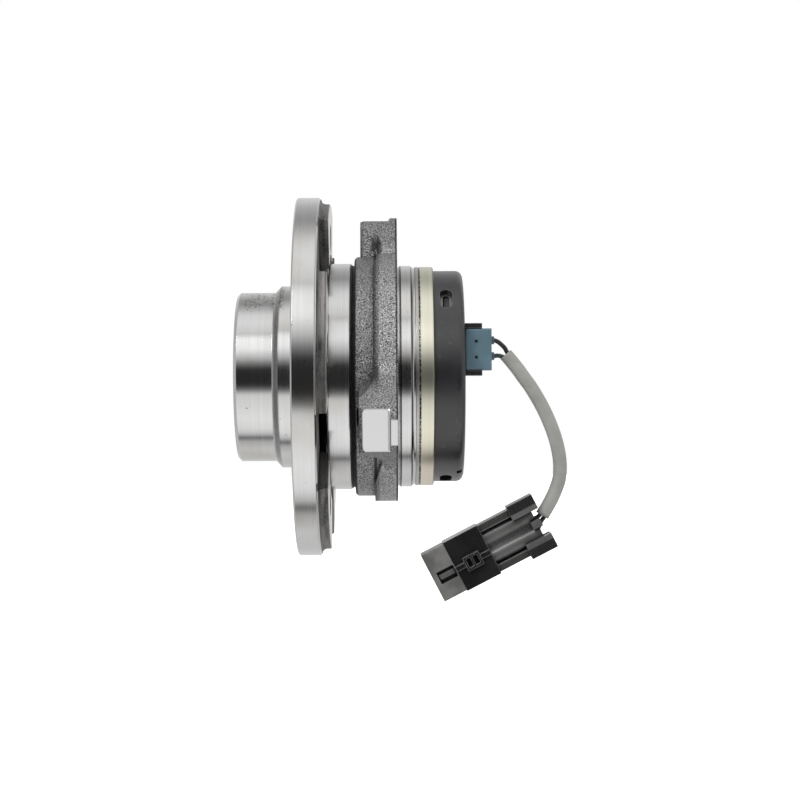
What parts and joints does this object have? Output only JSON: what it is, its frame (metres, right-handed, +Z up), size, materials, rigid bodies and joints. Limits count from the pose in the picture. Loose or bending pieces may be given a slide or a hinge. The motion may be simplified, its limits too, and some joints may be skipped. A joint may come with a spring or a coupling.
{
  "type": "wheel hub",
  "caption": "Driven wheel hub and bearing unit: turned flange hub, cast three-lug outer ring, ring-shaped wheel speed sensor cap and a short sleeved lead with a two-way connector.",
  "frame": {"origin": "on the spin axis, in the plane of the cast lugs' faces that meet the knuckle, at the centre of the three lug bolt holes", "axes": "+X along the spin axis towards the knuckle (the wheel is on -X), +Z up, -Y towards the viewer of the picture"},
  "size_m": [0.1338, 0.1484, 0.1647],
  "materials": {
    "turned_steel": "fine turned, lightly oiled",
    "ground_steel": "ground and polished",
    "sheet_steel": "stamped",
    "cast_steel": "shot-blasted forging, turned where it seats",
    "seal_rubber": "matte",
    "cage_plastic": "moulded",
    "yellow_zinc": "yellow zinc plated",
    "black_plastic": "satin, fine grained",
    "bobbin_plastic": "moulded",
    "copper_wire": "enamelled wire",
    "magnet": "sintered",
    "tinned_brass": "tinned",
    "blue_plastic": "moulded",
    "wire_insulation": "extruded",
    "grey_sleeve": "soft, matte",
    "grey_plastic": "moulded",
    "seal_silicone": "moulded"
  },
  "bodies": {
    "outer_assembly": {"outer_ring": "cast_steel", "outboard_seal_case": "sheet_steel", "outboard_seal_lip": "seal_rubber", "retainer_ring": "yellow_zinc", "sensor_cap": "black_plastic", "inboard_seal": "seal_rubber", "pole_ring": "sheet_steel", "coil_bobbin": "bobbin_plastic", "sensor_coil": "copper_wire", "magnet_ring": "magnet", "sensor_pins": "tinned_brass", "sensor_plug": "blue_plastic", "wire_upper": "wire_insulation", "wire_lower": "wire_insulation", "cable_sleeve": "grey_sleeve", "connector_body": "black_plastic", "connector_nose": "grey_plastic", "connector_collar": "black_plastic", "wire_seals": "seal_silicone", "connector_terminals": "tinned_brass"},
    "hub": {"hub_spindle": "turned_steel", "inner_ring": "ground_steel", "tone_ring": "sheet_steel"},
    "outboard_row": {"outboard_cage": "cage_plastic", "outboard_balls": "ground_steel"},
    "inboard_row": {"inboard_cage": "cage_plastic", "inboard_balls": "ground_steel"}
  },
  "joints": [
    {"name": "hub_spin", "type": "hinge", "parent": "outer_assembly", "child": "hub", "pos_m": [0, 0, 0], "axis": [1, 0, 0], "continuous": true},
    {"name": "outboard_row_spin", "type": "hinge", "parent": "outer_assembly", "child": "outboard_row", "pos_m": [-0.0155, 0, 0], "axis": [1, 0, 0], "continuous": true},
    {"name": "inboard_row_spin", "type": "hinge", "parent": "outer_assembly", "child": "inboard_row", "pos_m": [0.0055, 0, 0], "axis": [1, 0, 0], "continuous": true}
  ],
  "couplings": [
    {"joint": "outboard_row_spin", "follows": "hub_spin", "ratio": 0.4224},
    {"joint": "inboard_row_spin", "follows": "hub_spin", "ratio": 0.4224}
  ]
}
